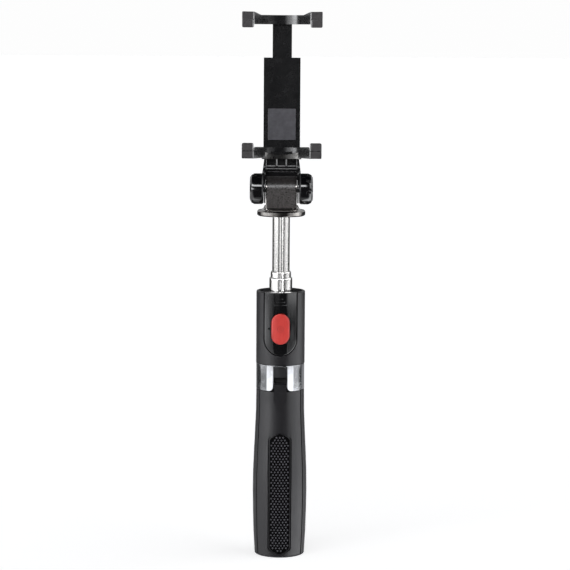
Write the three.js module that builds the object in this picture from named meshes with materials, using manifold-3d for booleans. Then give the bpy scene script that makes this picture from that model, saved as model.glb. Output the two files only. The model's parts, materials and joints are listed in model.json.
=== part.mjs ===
// A telescopic selfie stick whose handle splits into three tripod legs.
// Millimetres, +Z up. The origin is at the bottom of the handle, on the stick's axis.
// The side that faces the user, with the remote and its button, looks along -Y.
import * as THREE from 'three';
import { mergeVertices } from 'three/addons/utils/BufferGeometryUtils.js';
import Module from 'manifold-3d';

const wasm = await Module();
wasm.setup();

// ---------------------------------------------------------------- driving dimensions
const GAP = 0.3; // air between pieces that touch on the real object
const ROUND = 40; // sides of a large round piece
const SMALL_ROUND = 16; // sides of a pin, a screw or a small bore

const COLLAR = {
  bottom: 96.6, top: 111.1, radius: 13.75, wall: 0.85, band: 0.8, flare: 2.1, flareHeight: 3.6,
};
const HOUSING = { bottom: 111.4, top: 153, radius: 13.9, wall: 1.9, deck: 2.4, recess: 3 };
const REMOTE = { bottom: 117, top: 153, width: 18.4, radius: 13.8, back: 8.5, wall: 0.9 };
const BUTTON = { z: 132.3, width: 10.2, height: 17.5, proud: 14.2, back: 12.2, flange: 0.35 };
const BOARD = { half: 6.8, back: 9.5, front: 10, bottom: 123, top: 151.6 };
const SWITCH = { half: 2, front: 11.2, stem: 0.9, tip: 11.55 };
const CELL = { radius: 4.6, front: 11.9, z: 147.2 };
const STATUS_LIGHT = { x: -6.35, hole: 0.75, pipe: 0.45, front: 12.3 };

const LEG_COUNT = 3;
const LEG = { foot: 0.6, top: 96.3, bore: 8.7, wall: 1.8, liner: 1.2, ceiling: 7, sweep: 35, neck: 7.2 };
const PIN = { out: 10.5, z: 99, radius: 1, half: 5 };
const TONGUE = { top: 101, face: 13.6, slit: 104.3, knuckle: 1.9 };
const PAD = { width: 12.9, bottom: 1.7, top: 72.2, rise: 3.9, depth: 0.8, proud: 0.1 };

// Each rod section: outer radius, lower end, upper end (the pan joint hides the last one).
const SECTIONS = [
  { name: 'tube_1', radius: 7.3, bottom: 24, top: 150.4 },
  { name: 'tube_2', radius: 6.55, bottom: 39.6, top: 160.5 },
  { name: 'tube_3', radius: 5.8, bottom: 45.5, top: 164 },
  { name: 'tube_4', radius: 4.95, bottom: 84, top: 201.7 },
];
const TUBE_WALL = 0.4;
const FLUTE = { width: 3.3, depth: 0.85 };
const ROLL = { height: 3.3, lip: 0.15 };
const BUSH_HEIGHT = 5;
const END_PLUG = { flange: 0.4, thick: 1.5, spigot: 2 };

const TILT_Z = 211; // height of the tilt axis
const FLANGE = { bottom: 195.8, top: 199, radius: 13.7 };
const PAN = { socket: 203, plug: 12, shank: 1, head: 2.7, headBottom: 204.9, headTop: 206.6, well: 3.2 };
const FRICTION = { radius: 5.9, room: 6.2, bore: 2.4, near: 8.25, far: 8.85 };
const BLOCK = { half: 8.75, barrel: 7.2, cover: 7.3, skin: 0.55, coverHalf: 8.1, coverFoot: 200.5 };
const EAR = { inner: 9.05, outer: 9.8, arm: 10.95, radius: 8.3 };
const NECK = { rib: 2.74, ribHalf: 0.6, edge: 8.4, ledge: 223.2, shoulder: 220, waist: 9.9 };
const KNOB = { inner: 10.1, outer: 17.9, radius: 8.8, pocket: 4.2, pocketEnd: 15.4, notch: 1.1, notches: 8 };
const INSERT = { radius: 3.9, inner: 11.4, outer: 15.1 };
const BOLT = { radius: 2, head: 3.8, headInner: 12.4, headOuter: 15, end: 14.8 };

const JAW = { half: 22.75, finger: 6.75, front: 3, back: 18.2, hug: 14.3, lip: 2.6, facet: 11.3 };
const LOWER = { bottom: 227.9, split: 232.1, grip: 234, tip: 236.8 };
const UPPER = { top: 311, bridge: 309.1, split: 306.5, grip: 303.5, tip: 302 };
const RAIL = { front: 14.9, half: 10.5, top: 285, inner: 8.6 };
const SLIDER = { half: 5.5, front: 15.9, back: 17.4, bottom: 252, lug: 8.3, lugHeight: 2 };
const BACK_COVER = { bottom: 237, thick: 0.5, hole: 0.9, screw: 0.6, lowScrew: 243, highScrew: 279 };
const BACK_PAD = { half: 8, bottom: 238, top: 256, thick: 0.5 };
const SPRING_RADIUS = 0.8;

// ---------------------------------------------------------------- materials
const finish = (color, roughness, metalness = 0) =>
  () => new THREE.MeshStandardMaterial({ color, roughness, metalness });
const gripPlastic = finish(0x3a3a3d, 0.62);
const darkPlastic = finish(0x26262a, 0.5);
const glossBlack = finish(0x0c0c0e, 0.12);
const grainedBrown = finish(0x37322f, 0.7);
const rubber = finish(0x1c1c1e, 0.85);
const chrome = finish(0xdfe1e6, 0.06, 1);
const steel = finish(0xc9c8c6, 0.25, 1);
const brass = finish(0xb08d4a, 0.35, 1);
const redPlastic = finish(0xcd3e3a, 0.45);
const boardGreen = finish(0x1f5a3a, 0.6);
const clearPlastic = finish(0xd8dce0, 0.1);

// ---------------------------------------------------------------- solids and booleans
function solid(geometry) {
  geometry.deleteAttribute('normal');
  geometry.deleteAttribute('uv');
  const merged = mergeVertices(geometry, 1e-4);
  const vertProperties = new Float32Array(merged.attributes.position.array);
  const triVerts = new Uint32Array(merged.index.array);
  return new wasm.Manifold(new wasm.Mesh({ numProp: 3, vertProperties, triVerts }));
}

function geometryOf(body) {
  const mesh = body.getMesh();
  const geometry = new THREE.BufferGeometry();
  geometry.setAttribute('position', new THREE.BufferAttribute(mesh.vertProperties, 3));
  geometry.setIndex(new THREE.BufferAttribute(mesh.triVerts, 1));
  return geometry;
}

const root = new THREE.Group();

function addTo(group, name, body, material) {
  const mesh = new THREE.Mesh(geometryOf(body), material());
  mesh.name = name;
  group.add(mesh);
}

const add = (name, body, material) => addTo(root, name, body, material);

function box(x0, x1, y0, y1, z0, z1) {
  const geometry = new THREE.BoxGeometry(x1 - x0, y1 - y0, z1 - z0);
  geometry.translate((x0 + x1) / 2, (y0 + y1) / 2, (z0 + z1) / 2);
  return solid(geometry);
}

// A solid of revolution about Z. The profile is a list of [radius, z], bottom to top.
function turned(profile, sides = ROUND) {
  const points = profile.map(([r, z]) => new THREE.Vector2(r, z));
  const geometry = new THREE.LatheGeometry(points, sides);
  geometry.rotateX(Math.PI / 2);
  return solid(geometry);
}

const rod = (radius, z0, z1, sides = ROUND) =>
  turned([[0, z0], [radius, z0], [radius, z1], [0, z1]], sides);

const ring = (outer, inner, z0, z1, sides = ROUND) =>
  turned([[inner, z0], [outer, z0], [outer, z1], [inner, z1], [inner, z0]], sides);

// A round bar along X, centred on (y, z).
function rodX(radius, x0, x1, y, z, sides = SMALL_ROUND) {
  const geometry = new THREE.CylinderGeometry(radius, radius, x1 - x0, sides);
  geometry.rotateZ(Math.PI / 2);
  geometry.translate((x0 + x1) / 2, y, z);
  return solid(geometry);
}

// A round bar along Y, centred on (x, z).
function rodY(radius, y0, y1, x, z, sides = SMALL_ROUND) {
  const geometry = new THREE.CylinderGeometry(radius, radius, y1 - y0, sides);
  geometry.translate(x, (y0 + y1) / 2, z);
  return solid(geometry);
}

function outline(points) {
  const shape = new THREE.Shape();
  points.forEach(([a, b], i) => (i ? shape.lineTo(a, b) : shape.moveTo(a, b)));
  shape.closePath();
  return shape;
}

// An outline in plan (x, y), raised from z0 to z1.
function raised(shape, z0, z1, curveSegments = 8) {
  const geometry = new THREE.ExtrudeGeometry(shape, { depth: z1 - z0, bevelEnabled: false, curveSegments });
  geometry.translate(0, 0, z0);
  return solid(geometry);
}

// An outline in side view (y, z), swept across from x0 to x1.
function acrossX(shape, x0, x1, curveSegments = 8) {
  const geometry = new THREE.ExtrudeGeometry(shape, { depth: x1 - x0, bevelEnabled: false, curveSegments });
  geometry.applyMatrix4(new THREE.Matrix4().set(0, 0, 1, x0, 1, 0, 0, 0, 0, 1, 0, 0, 0, 0, 0, 1));
  return solid(geometry);
}

// An outline in front view (x, z), swept backwards from y0 to y1.
function acrossY(shape, y0, y1, curveSegments = 8) {
  const geometry = new THREE.ExtrudeGeometry(shape, { depth: y1 - y0, bevelEnabled: false, curveSegments });
  geometry.rotateX(Math.PI / 2);
  geometry.translate(0, y1, 0);
  return solid(geometry);
}

const cut = (body, ...tools) => tools.reduce((left, tool) => left.subtract(tool), body);
const join = (body, ...others) => others.reduce((sum, other) => sum.add(other), body);

// ---------------------------------------------------------------- telescopic rod
// Radius of a fluted tube at an angle: a smooth groove runs down its front and its back.
function flutedRadius(radius, angle) {
  const half = FLUTE.width / 2 / radius;
  const fromFront = Math.abs(Math.atan2(Math.cos(angle), -Math.sin(angle)));
  const offset = Math.min(fromFront, Math.PI - fromFront);
  if (offset >= half) return radius;
  return radius - FLUTE.depth * Math.cos((offset / half) * Math.PI / 2) ** 2;
}

// A closed tube wall. Each row is [outer-surface radius, z], going up outside, down inside.
function flutedTube(rows) {
  const sides = 36;
  const position = [];
  const index = [];
  rows.forEach(([radius, z]) => {
    for (let i = 0; i < sides; i += 1) {
      const angle = ((i + 0.5) / sides) * Math.PI * 2;
      const r = flutedRadius(radius, angle);
      position.push(r * Math.cos(angle), r * Math.sin(angle), z);
    }
  });
  rows.forEach((row, k) => {
    const next = ((k + 1) % rows.length) * sides;
    for (let i = 0; i < sides; i += 1) {
      const j = (i + 1) % sides;
      index.push(k * sides + i, k * sides + j, next + j);
      index.push(k * sides + i, next + j, next + i);
    }
  });
  const geometry = new THREE.BufferGeometry();
  geometry.setAttribute('position', new THREE.Float32BufferAttribute(position, 3));
  geometry.setIndex(index);
  return solid(geometry);
}

// The top of an outer section is rolled in over the section that slides in it.
function rodSection({ radius, bottom, top }, rolled) {
  const inner = radius - TUBE_WALL;
  if (!rolled) return flutedTube([[radius, bottom], [radius, top], [inner, top], [inner, bottom]]);
  const { height, lip } = ROLL;
  return flutedTube([
    [radius, bottom],
    [radius, top - height],
    [radius - 0.8 * lip, top - height / 4],
    [radius - 1.6 * lip, top],
    [inner - lip, top],
    [inner, top - 1],
    [inner, bottom],
  ]);
}

function buildRod() {
  SECTIONS.forEach((section, i) => {
    add(section.name, rodSection(section, i < SECTIONS.length - 1), steel);
    if (i === 0) return;
    const guide = SECTIONS[i - 1].radius - TUBE_WALL - 0.15;
    const inner = section.radius - TUBE_WALL;
    const top = section.bottom - GAP;
    const bottom = top - BUSH_HEIGHT;
    const bush = flutedTube([[guide, bottom], [guide, top], [inner, top], [inner, bottom]]);
    add(`slide_bush_${i + 1}`, bush, darkPlastic);
  });
  const fixed = SECTIONS[0];
  const inside = fixed.radius - TUBE_WALL - FLUTE.depth - 0.2;
  const rim = fixed.radius + END_PLUG.flange;
  const seat = fixed.bottom - GAP;
  const tip = fixed.bottom + END_PLUG.spigot;
  const plug = turned([
    [0, seat - END_PLUG.thick], [rim, seat - END_PLUG.thick], [rim, seat], [inside, seat],
    [inside, tip], [0, tip],
  ], 32);
  add('rod_end_plug', plug, darkPlastic);
}

// ---------------------------------------------------------------- tripod legs
// Outer radius of the closed handle at a height: waisted at the collar, fullest low down.
const handleCurve = new THREE.SplineCurve([
  [14.3, 0], [15.2, 17], [15.55, 37], [15.2, 55], [14.2, 74], [13.75, 89], [13.75, 97],
].map(([r, z]) => new THREE.Vector2(r, z)));

function handleBody(offset, z0, z1) {
  const steps = 8;
  const profile = [];
  for (let i = 0; i <= steps; i += 1) {
    const z = z0 + ((z1 - z0) * i) / steps;
    profile.push([handleRadius(z) + offset, z]);
  }
  return turned([[0, z0], ...profile, [0, z1]]);
}

function handleRadius(z) {
  let low = 0;
  let high = 1;
  for (let i = 0; i < 24; i += 1) {
    const middle = (low + high) / 2;
    if (handleCurve.getPoint(middle).y < z) low = middle;
    else high = middle;
  }
  return handleCurve.getPoint((low + high) / 2).x;
}

// The third of a circle that belongs to the leg on the -Y side, its two faces set in by inset.
function legWedge(inset, z0, z1) {
  const reach = 40;
  const apex = inset / Math.sin(Math.PI / 3);
  const spread = reach * Math.tan(Math.PI / 3);
  return raised(outline([[0, -apex], [-spread, -apex - reach], [spread, -apex - reach]]), z0, z1);
}

// The front outline of the grip pad, with both ends in a blunt pointed arch.
function padOutline(grow) {
  const half = PAD.width / 2 + grow;
  const bottom = PAD.bottom - grow;
  const top = PAD.top + grow;
  const shape = new THREE.Shape();
  const shoulder = half * 0.96;
  const low = bottom + PAD.rise / 2;
  const high = top - PAD.rise / 2;
  shape.moveTo(-half, bottom + PAD.rise);
  shape.quadraticCurveTo(-shoulder, low, 0, bottom);
  shape.quadraticCurveTo(shoulder, low, half, bottom + PAD.rise);
  shape.lineTo(half, top - PAD.rise);
  shape.quadraticCurveTo(shoulder, high, 0, top);
  shape.quadraticCurveTo(-shoulder, high, -half, top - PAD.rise);
  shape.closePath();
  return shape;
}

// The neck of a leg: it rises into the collar's notch, with a knuckle round the hinge pin.
function legTongue() {
  const shape = new THREE.Shape();
  const knuckle = TONGUE.knuckle;
  shape.moveTo(-TONGUE.face, LEG.top - 6);
  shape.lineTo(-TONGUE.face, TONGUE.top - 0.8);
  shape.lineTo(-TONGUE.face + 0.8, TONGUE.top);
  shape.lineTo(-PIN.out - 0.4, TONGUE.top);
  shape.absarc(-PIN.out, PIN.z, knuckle, Math.PI / 2, 0, true);
  shape.lineTo(-PIN.out + knuckle - 0.2, LEG.top - 6);
  shape.closePath();
  return acrossX(shape, -LEG.neck / 2, LEG.neck / 2, 5);
}

// What the fixed collar and hub sweep out, seen from a leg that swings outwards.
function sweptCollar() {
  const step = 5;
  const fixed = rod(COLLAR.radius + GAP, COLLAR.bottom - 0.25, COLLAR.bottom + 20);
  const sweeps = [];
  for (let angle = step; angle <= LEG.sweep + 0.1; angle += step) {
    const turn = fixed.translate([0, PIN.out, -PIN.z]).rotate([angle, 0, 0]);
    sweeps.push(turn.translate([0, -PIN.out, PIN.z]));
  }
  return sweeps.reduce((sum, sweep) => sum.add(sweep));
}

function legShell() {
  const bottom = LEG.foot + GAP;
  const wall = LEG.wall;
  const blank = cut(
    handleBody(0, bottom, LEG.top).intersect(legWedge(GAP, bottom - 1, LEG.top + 1)),
    rod(LEG.bore, bottom - 1, LEG.top + 1),
  );
  const hollow = handleBody(-wall, bottom + wall, LEG.top - LEG.ceiling)
    .intersect(legWedge(GAP + wall, bottom, LEG.top));
  const padSeat = cut(
    acrossY(padOutline(GAP), -20, -8),
    handleBody(-PAD.depth, 0, LEG.top),
  );
  const shell = cut(blank, hollow, padSeat, sweptCollar());
  return cut(join(shell, legTongue()), rodX(PIN.radius + GAP, -9, 9, -PIN.out, PIN.z));
}

function legLiner() {
  const inset = GAP + LEG.wall + GAP;
  const z0 = LEG.foot + GAP + LEG.wall + GAP;
  const z1 = LEG.top - LEG.ceiling - GAP;
  return ring(LEG.bore + LEG.liner, LEG.bore, z0, z1).intersect(legWedge(inset, z0 - 1, z1 + 1));
}

function legPad() {
  const skin = cut(handleBody(PAD.proud, 0, LEG.top), handleBody(-PAD.depth + GAP, -1, LEG.top + 1));
  return skin.intersect(acrossY(padOutline(0), -20, -8));
}

function legFoot() {
  const rim = handleRadius(0);
  const foot = turned([
    [LEG.bore, 0], [rim - LEG.foot / 2, 0], [rim, LEG.foot / 2], [handleRadius(LEG.foot), LEG.foot],
    [LEG.bore, LEG.foot], [LEG.bore, 0],
  ]);
  return foot.intersect(legWedge(GAP, -1, LEG.foot + 1));
}

function buildLegs() {
  const shell = legShell();
  const liner = legLiner();
  const pad = legPad();
  const foot = legFoot();
  const pin = rodX(PIN.radius, -PIN.half, PIN.half, -PIN.out, PIN.z);
  ['front', 'right', 'left'].forEach((side, i) => {
    const leg = new THREE.Group();
    leg.rotation.z = (i * Math.PI * 2) / LEG_COUNT;
    addTo(leg, `leg_${side}_shell`, shell, gripPlastic);
    addTo(leg, `leg_${side}_liner`, liner, darkPlastic);
    addTo(leg, `leg_${side}_grip_pad`, pad, rubber);
    addTo(leg, `leg_${side}_foot`, foot, rubber);
    addTo(leg, `leg_${side}_pin`, pin, steel);
    root.add(leg);
  });
}

// Three copies of a body, turned to face the three legs.
function forEachLeg(body) {
  const copies = [];
  for (let i = 0; i < LEG_COUNT; i += 1) copies.push(body.rotate([0, 0, (i * 360) / LEG_COUNT]));
  return copies;
}

// ---------------------------------------------------------------- hub and collar
function buildHub() {
  const bore = SECTIONS[0].radius + GAP;
  const outer = COLLAR.radius - COLLAR.wall - GAP;
  const spigot = HOUSING.radius - HOUSING.wall - 0.4;
  const shoulder = COLLAR.top - 0.1;
  const blank = turned([
    [bore, COLLAR.bottom + GAP], [outer, COLLAR.bottom + GAP], [outer, shoulder],
    [spigot, shoulder], [spigot, REMOTE.bottom - 3.2], [bore, REMOTE.bottom - 3.2],
    [bore, COLLAR.bottom + GAP],
  ]);
  const slot = LEG.neck / 2 + GAP;
  const slots = forEachLeg(box(-slot, slot, -16, -bore - 0.7, COLLAR.bottom - 1, TONGUE.slit));
  const holes = forEachLeg(rodX(PIN.radius + GAP, -5.4, 5.4, -PIN.out, PIN.z));
  add('leg_hub', cut(blank, ...slots, ...holes), darkPlastic);

  const inner = COLLAR.radius - COLLAR.wall;
  const band = ring(COLLAR.radius, inner, COLLAR.bottom, COLLAR.top);
  const mouth = slot + COLLAR.flare;
  const flareTop = COLLAR.bottom + COLLAR.flareHeight;
  const notch = new THREE.Shape();
  notch.moveTo(-mouth, COLLAR.bottom - 1);
  notch.lineTo(-mouth, COLLAR.bottom);
  notch.quadraticCurveTo(-slot, COLLAR.bottom + 0.4, -slot, flareTop);
  notch.lineTo(-slot, COLLAR.top - COLLAR.band);
  notch.lineTo(slot, COLLAR.top - COLLAR.band);
  notch.lineTo(slot, flareTop);
  notch.quadraticCurveTo(slot, COLLAR.bottom + 0.4, mouth, COLLAR.bottom);
  notch.lineTo(mouth, COLLAR.bottom - 1);
  notch.closePath();
  add('chrome_collar', cut(band, ...forEachLeg(acrossY(notch, -16, -8, 4))), chrome);
}

// ---------------------------------------------------------------- housing and remote
// The remote's outline from the front: square at the top, half-round at the bottom.
function remoteOutline(grow, top) {
  const half = REMOTE.width / 2 + grow;
  const centre = REMOTE.bottom + REMOTE.width / 2;
  const shape = new THREE.Shape();
  shape.moveTo(-half, top);
  shape.lineTo(-half, centre);
  shape.absarc(0, centre, half, Math.PI, Math.PI * 2, false);
  shape.lineTo(half, top);
  shape.closePath();
  return shape;
}

function stadium(width, height, z) {
  const r = width / 2;
  const reach = height / 2 - r;
  const shape = new THREE.Shape();
  shape.absarc(0, z + reach, r, 0, Math.PI, false);
  shape.absarc(0, z - reach, r, Math.PI, Math.PI * 2, false);
  shape.closePath();
  return shape;
}

function buildHousing() {
  const { bottom, top, radius, wall, deck, recess } = HOUSING;
  const inner = radius - wall;
  const bore = SECTIONS[0].radius + 0.35;
  const floor = top - recess;
  const walls = turned([
    [inner, bottom], [radius, bottom], [radius, top - 0.4], [radius - 0.4, top],
    [inner + 0.3, top], [inner + 0.3, floor], [bore, floor], [bore, floor - deck],
    [inner, floor - deck], [inner, bottom],
  ]);
  const seat = REMOTE.back - GAP;
  const sill = acrossY(remoteOutline(2, floor), -13, -seat + 1);
  const lining = sill.intersect(rod(radius - 0.2, bottom + 2, floor));
  const channel = acrossY(remoteOutline(0.35, top + 1), -16, -seat);
  const well = rod(bore, bottom - 1, top + 1);
  add('upper_housing', cut(join(walls, lining), channel, well), gripPlastic);

  const guideTop = floor - deck - GAP;
  const guide = ring(inner - GAP, bore + 0.1, guideTop - 8, guideTop);
  const lip = acrossY(remoteOutline(2.4, top), -16, -seat + 1 + GAP);
  add('rod_guide', cut(guide, lip), darkPlastic);

}

function buildRemote() {
  const { back, top, wall, radius } = REMOTE;
  const skin = acrossY(remoteOutline(0, top), -16, -back).intersect(rod(radius, 110, top));
  const room = acrossY(remoteOutline(-wall, top - wall), -16, -back + 1)
    .intersect(rod(radius - wall, 110, top));
  const hole = acrossY(stadium(BUTTON.width + 0.6, BUTTON.height + 0.6, BUTTON.z), -16, -12 + 3);
  const pinhole = rodY(STATUS_LIGHT.hole, -16, -back, STATUS_LIGHT.x, BUTTON.z, 12);
  add('remote_front_shell', cut(skin, room, hole, pinhole), glossBlack);

  const inset = -wall - GAP;
  const cover = acrossY(remoteOutline(inset, top - wall - GAP), -back - 0.7, -back);
  add('remote_back_cover', cover, darkPlastic);

  const board = box(-BOARD.half, BOARD.half, -BOARD.front, -BOARD.back, BOARD.bottom, BOARD.top);
  add('remote_circuit_board', board, boardGreen);
  const onBoard = -BOARD.front - 0.2;
  const { half, front, stem, tip } = SWITCH;
  const contact = join(
    box(-half, half, -front, onBoard, BUTTON.z - half, BUTTON.z + half),
    rodY(stem, -tip, -front + 0.1, 0, BUTTON.z, 12),
  );
  add('shutter_switch', contact, darkPlastic);
  add('coin_cell', rodY(CELL.radius, -CELL.front, onBoard, 0, CELL.z, 24), steel);
  const pipe = rodY(STATUS_LIGHT.pipe, -STATUS_LIGHT.front, onBoard, STATUS_LIGHT.x, BUTTON.z, 12);
  add('status_light_pipe', pipe, clearPlastic);

  const sheath = rod(BUTTON.proud, 110, top).subtract(rod(BUTTON.back, 109, top + 1));
  const cap = acrossY(stadium(BUTTON.width, BUTTON.height, BUTTON.z), -16, -5).intersect(sheath);
  const flangeBand = ring(BUTTON.back + 0.4, BUTTON.back, 110, top);
  const grown = BUTTON.flange * 2;
  const flange = acrossY(stadium(BUTTON.width + grown, BUTTON.height + grown, BUTTON.z), -16, -5)
    .intersect(flangeBand);
  const plunger = rodY(1.2, -BUTTON.back - 0.4, -SWITCH.tip - 0.4, 0, BUTTON.z, 12);
  add('shutter_button', join(cap, flange, plunger), redPlastic);
}

// ---------------------------------------------------------------- pan and tilt head
// The block's side outline: a half-round barrel on straight front and back faces.
function blockSide(radius, foot) {
  const shape = new THREE.Shape();
  shape.moveTo(-radius, foot);
  shape.lineTo(radius, foot);
  shape.lineTo(radius, TILT_Z);
  shape.absarc(0, TILT_Z, radius, 0, Math.PI, false);
  shape.closePath();
  return shape;
}

function buildHead() {
  const { bottom, top, radius } = FLANGE;
  const disc = turned([
    [0, bottom], [radius - 0.6, bottom], [radius, bottom + 0.6], [radius, top - 0.7],
    [radius - 0.5, top], [11.3, top + 0.3], [10.1, top + 1.1], [9.5, top + 2.6],
    [0, top + 2.6],
  ]);
  const trim = acrossX(blockSide(BLOCK.barrel + 0.6, top - 5), -12, 12, 12);
  const foot = join(disc.intersect(rod(20, bottom - 1, top + 0.35)), disc.intersect(trim));
  const core = acrossX(blockSide(BLOCK.barrel, top - 1), -BLOCK.half, BLOCK.half, 12);
  const hull = BLOCK.cover - BLOCK.skin - GAP;
  const seatHalf = BLOCK.coverHalf + 0.2;
  const skinRoom = cut(
    box(-seatHalf, seatHalf, -9, 9, BLOCK.coverFoot - GAP, TILT_Z + 9),
    acrossX(blockSide(hull, top - 1), -10, 10, 12),
  );
  const washerRooms = [-1, 1].map((side) => {
    const near = side * (BLOCK.half - 0.8);
    const far = side * (BLOCK.half + 0.01);
    return rodX(FRICTION.room, Math.min(near, far), Math.max(near, far), 0, TILT_Z, 24);
  });
  const block = cut(
    join(foot, core),
    skinRoom,
    rod(SECTIONS[3].radius + GAP, bottom - 1, PAN.socket, 32),
    rod(PAN.shank + 0.35, bottom, TILT_Z, SMALL_ROUND),
    rod(PAN.well, PAN.headBottom - GAP, TILT_Z - 1, SMALL_ROUND),
    rodX(BOLT.radius + GAP, -12, 12, 0, TILT_Z),
    ...washerRooms,
  );
  add('tilt_block', block, glossBlack);

  const skin = cut(
    acrossX(blockSide(BLOCK.cover, BLOCK.coverFoot), -BLOCK.coverHalf, BLOCK.coverHalf, 14),
    acrossX(blockSide(BLOCK.cover - BLOCK.skin, BLOCK.coverFoot - 1), -12, 12, 14),
  );
  add('block_cover', skin, grainedBrown);

  const rodTop = SECTIONS[3].top;
  const plugRadius = SECTIONS[3].radius - TUBE_WALL - FLUTE.depth - GAP;
  const clearance = PAN.shank + GAP;
  add('rod_top_plug', ring(plugRadius, clearance, rodTop - PAN.plug, rodTop, 24), darkPlastic);
  add('pan_washer', ring(SECTIONS[3].radius, clearance, rodTop + GAP, PAN.socket - GAP, 24), steel);
  const screw = join(
    rod(PAN.shank, rodTop - PAN.plug + 1, PAN.headBottom + 0.1, SMALL_ROUND),
    rod(PAN.head, PAN.headBottom, PAN.headTop, SMALL_ROUND),
  );
  add('pan_screw', screw, steel);
  [['left', -1], ['right', 1]].forEach(([name, side]) => {
    const near = side * FRICTION.near;
    const far = side * FRICTION.far;
    const disk = rodX(FRICTION.radius, Math.min(near, far), Math.max(near, far), 0, TILT_Z, 24);
    add(`friction_washer_${name}`, cut(disk, rodX(FRICTION.bore, -12, 12, 0, TILT_Z)), rubber);
  });
}

// ---------------------------------------------------------------- phone clamp
// Plan outline of a jaw: two fingers joined behind a hollow that fits round the handle.
function jawPlan() {
  const { half, finger, front, back, hug, facet } = JAW;
  const inner = half - finger;
  const start = Math.acos(facet / hug);
  const shape = new THREE.Shape();
  shape.moveTo(-half, front);
  shape.lineTo(-inner, front);
  shape.lineTo(-facet, hug * Math.sin(start));
  shape.absarc(0, 0, hug, Math.PI - start, start, true);
  shape.lineTo(inner, front);
  shape.lineTo(half, front);
  shape.lineTo(half, back);
  shape.lineTo(-half, back);
  shape.closePath();
  return shape;
}

// A rubber finger pad on the +X side: a floor under the phone and a lip over its front edge.
function fingerPad(split, grip, tip) {
  const { half, finger, front, back, lip } = JAW;
  const side = outline([
    [front, split], [front, tip], [front + lip - 0.6, tip], [front + lip, grip],
    [back, grip], [back, split],
  ]);
  return acrossX(side, half - finger, half);
}

const mirrored = (body) => body.mirror([1, 0, 0]);

// An ear lies on the block's side; its arm passes outside the knob's rim to the neck.
function clampEar() {
  const disc = rodX(EAR.radius, EAR.inner, EAR.outer, 0, TILT_Z, 32);
  const arm = acrossX(outline([
    [0, TILT_Z + EAR.radius], [13.2, TILT_Z + 10.4], [14.3, TILT_Z + 12.4],
    [14.3, LOWER.bottom + 1], [JAW.back, LOWER.bottom + 1], [JAW.back, TILT_Z + 9],
    [14.2, TILT_Z + 3.4], [6.4, TILT_Z - 5.2], [0, TILT_Z],
  ]), EAR.inner, EAR.arm);
  const knobRoom = rodX(KNOB.radius + GAP, EAR.outer, EAR.arm + 1, 0, TILT_Z, ROUND);
  return cut(join(disc, arm), knobRoom);
}

// The neck that carries the lower jaw, open at the front between two upright ribs.
function clampNeck() {
  const web = outline([
    [8.2, TILT_Z + 7.2], [14.3, TILT_Z + 11.4], [14.3, LOWER.bottom + 1],
    [JAW.back, LOWER.bottom + 1], [JAW.back, TILT_Z + 9], [9.2, TILT_Z + 4.4],
  ]);
  const { rib, ribHalf, edge } = NECK;
  const pocket = (x0, x1) => box(x0, x1, 13, 16.2, NECK.ledge, LOWER.bottom);
  const pockets = [
    pocket(-edge, -rib - ribHalf), pocket(-rib + ribHalf, rib - ribHalf), pocket(rib + ribHalf, edge),
  ];
  return cut(acrossX(web, -EAR.inner - 0.1, EAR.inner + 0.1), ...pockets);
}

function clampRail() {
  const { front, half, top, inner } = RAIL;
  const shell = box(-half, half, front, JAW.back, LOWER.grip - 3, top);
  const channel = box(-inner, inner, front + 0.8, JAW.back + 1, LOWER.grip + 2.6, top - 2);
  const mouth = SLIDER.half + GAP;
  const way = box(-mouth, mouth, SLIDER.front - GAP, SLIDER.back + GAP, top - 3, top + 1);
  return cut(shell, channel, way);
}

function buildClamp() {
  const lowerFront = outline([
    [-JAW.half, LOWER.bottom], [JAW.half, LOWER.bottom], [JAW.half, LOWER.split],
    [15.7, LOWER.split], [15.7, LOWER.grip - 0.2], [-15.7, LOWER.grip - 0.2],
    [-15.7, LOWER.split], [-JAW.half, LOWER.split],
  ]);
  const jaw = raised(jawPlan(), LOWER.bottom, LOWER.grip, 20).intersect(acrossY(lowerFront, 0, 20));
  const bar = box(-RAIL.half, RAIL.half, 13, 15, LOWER.bottom, LOWER.bottom + 3.5);
  const ear = clampEar();
  const boltHole = rodX(BOLT.radius + GAP, -12, 12, 0, TILT_Z);
  const taper = acrossY(outline([
    [EAR.arm + 0.01, NECK.shoulder], [NECK.waist, LOWER.bottom], [EAR.arm + 2, LOWER.bottom],
    [EAR.arm + 2, NECK.shoulder],
  ]), 0, 20);
  const arms = cut(join(clampNeck(), ear, mirrored(ear)), taper, mirrored(taper));
  const frame = join(jaw, bar, arms, clampRail());
  add('clamp_frame', cut(frame, boltHole), darkPlastic);

  const { back } = JAW;
  const coverHalf = RAIL.inner - GAP;
  const coverTop = RAIL.top - 2 - 0.4;
  const cover = box(-coverHalf, coverHalf, back - BACK_COVER.thick, back, BACK_COVER.bottom, coverTop);
  const screws = [['lower', BACK_COVER.lowScrew], ['upper', BACK_COVER.highScrew]];
  const coverHoles = screws.map(([, z]) => rodY(BACK_COVER.hole, back - 1, back + 1, 0, z, 12));
  add('clamp_back_cover', cut(cover, ...coverHoles), darkPlastic);
  screws.forEach(([name, z]) => {
    add(`clamp_screw_${name}`, rodY(BACK_COVER.screw, SLIDER.back + 0.35, back, 0, z, 12), steel);
  });
  const padBack = RAIL.front - GAP;
  const { half, bottom, top, thick } = BACK_PAD;
  add('clamp_back_pad', box(-half, half, padBack - thick, padBack, bottom, top), rubber);

  const pad = fingerPad(LOWER.split + GAP, LOWER.grip, LOWER.tip);
  add('lower_pad_right', pad, rubber);
  add('lower_pad_left', mirrored(pad), rubber);
}

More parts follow.
